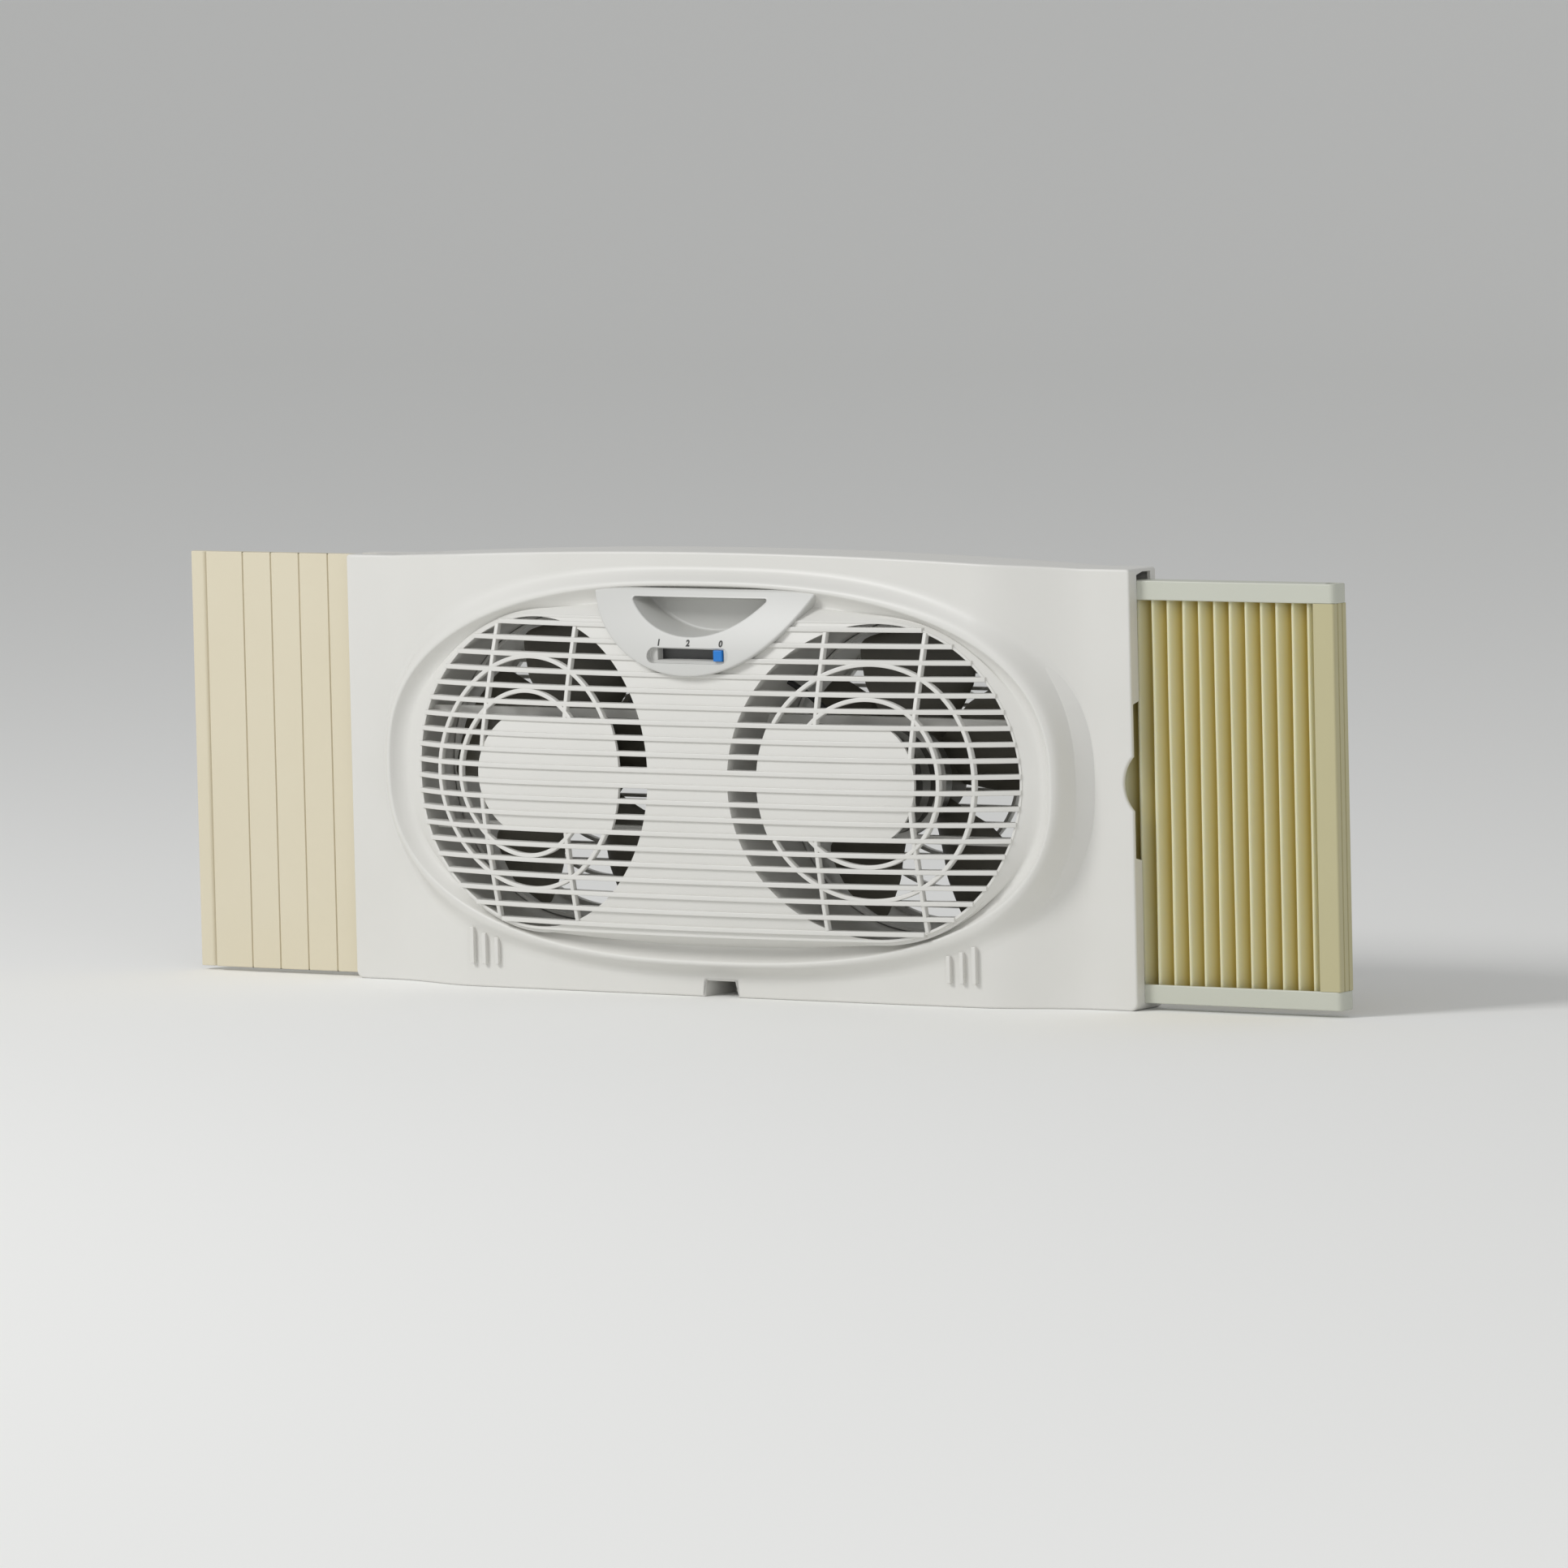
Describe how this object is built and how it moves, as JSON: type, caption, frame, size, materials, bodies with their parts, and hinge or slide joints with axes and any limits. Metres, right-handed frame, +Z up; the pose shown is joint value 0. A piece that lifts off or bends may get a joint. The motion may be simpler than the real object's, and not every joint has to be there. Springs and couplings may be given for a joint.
{
  "type": "window fan",
  "caption": "Low twin window fan with a domed oval grille, a speed slider under a hand-hold, a sliding filler panel at one end and a pleated expander at the other.",
  "frame": {"origin": "middle of the housing's width, on the bottom face, at the plane where the two shells meet", "axes": "+X to the right seen from the room, +Y from the room to the outside, +Z up"},
  "size_m": [0.983, 0.1245, 0.3182],
  "materials": {
    "housing_plastic": "fine satin moulded surface",
    "bezel_plastic": "fine satin moulded surface",
    "knob_plastic": "smooth semi-gloss",
    "switch_plastic": "plain",
    "rail_plastic": "smooth extruded surface",
    "cream_plastic": "smooth extruded surface",
    "pleat_vinyl": "soft folded vinyl sheet",
    "impeller_plastic": "moulded, slightly glossy",
    "lamination_steel": "stacked sheet edges",
    "winding_copper": "enamelled wire",
    "bell_aluminium": "die-cast",
    "bearing_bronze": "sintered",
    "shaft_steel": "ground",
    "zinc_steel": "zinc plated",
    "gland_rubber": "plain",
    "lead_sleeve": "plain"
  },
  "bodies": {
    "housing": {"front_shell": "housing_plastic", "rear_shell": "housing_plastic", "shell_screws": "zinc_steel", "cord_gland": "gland_rubber", "front_grille": "housing_plastic", "control_bezel": "bezel_plastic", "handle_cup": "bezel_plastic", "switch_body": "switch_plastic", "left_inlet_ring": "housing_plastic", "left_rear_guard": "housing_plastic", "left_motor_lead": "lead_sleeve", "left_motor_bracket": "housing_plastic", "left_stator": "lamination_steel", "left_coils": "winding_copper", "left_front_bell": "bell_aluminium", "left_rear_bell": "bell_aluminium", "left_front_bearing": "bearing_bronze", "left_rear_bearing": "bearing_bronze", "left_motor_bolts": "zinc_steel", "right_inlet_ring": "housing_plastic", "right_rear_guard": "housing_plastic", "right_motor_lead": "lead_sleeve", "right_motor_bracket": "housing_plastic", "right_stator": "lamination_steel", "right_coils": "winding_copper", "right_front_bell": "bell_aluminium", "right_rear_bell": "bell_aluminium", "right_front_bearing": "bearing_bronze", "right_rear_bearing": "bearing_bronze", "right_motor_bolts": "zinc_steel", "clamp_strip": "cream_plastic", "pleated_sheet": "pleat_vinyl"},
    "left_fan": {"left_rotor": "bell_aluminium", "left_shaft": "shaft_steel", "left_impeller": "impeller_plastic", "left_impeller_nut": "zinc_steel"},
    "right_fan": {"right_rotor": "bell_aluminium", "right_shaft": "shaft_steel", "right_impeller": "impeller_plastic", "right_impeller_nut": "zinc_steel"},
    "speed_slider": {"speed_knob": "knob_plastic", "switch_carrier": "switch_plastic"},
    "expander": {"expander_top_rail": "rail_plastic", "expander_bottom_rail": "rail_plastic", "expander_end_post": "cream_plastic"},
    "filler_panel": {"left_panel": "cream_plastic", "left_panel_edge": "cream_plastic"}
  },
  "joints": [
    {"name": "left_fan_spin", "type": "hinge", "parent": "housing", "child": "left_fan", "pos_m": [-0.14565, 0, 0.159], "axis": [0, 1, 0], "continuous": true},
    {"name": "right_fan_spin", "type": "hinge", "parent": "housing", "child": "right_fan", "pos_m": [0.14565, 0, 0.159], "axis": [0, 1, 0], "continuous": true},
    {"name": "speed_slide", "type": "slide", "parent": "housing", "child": "speed_slider", "axis": [1, 0, 0], "range_m": [-0.05, 0]},
    {"name": "expander_slide", "type": "slide", "parent": "housing", "child": "expander", "axis": [1, 0, 0], "range_m": [-0.158, 0], "deforming": ["pleated_sheet"]},
    {"name": "panel_slide", "type": "slide", "parent": "housing", "child": "filler_panel", "axis": [1, 0, 0], "range_m": [0, 0.056]}
  ]
}
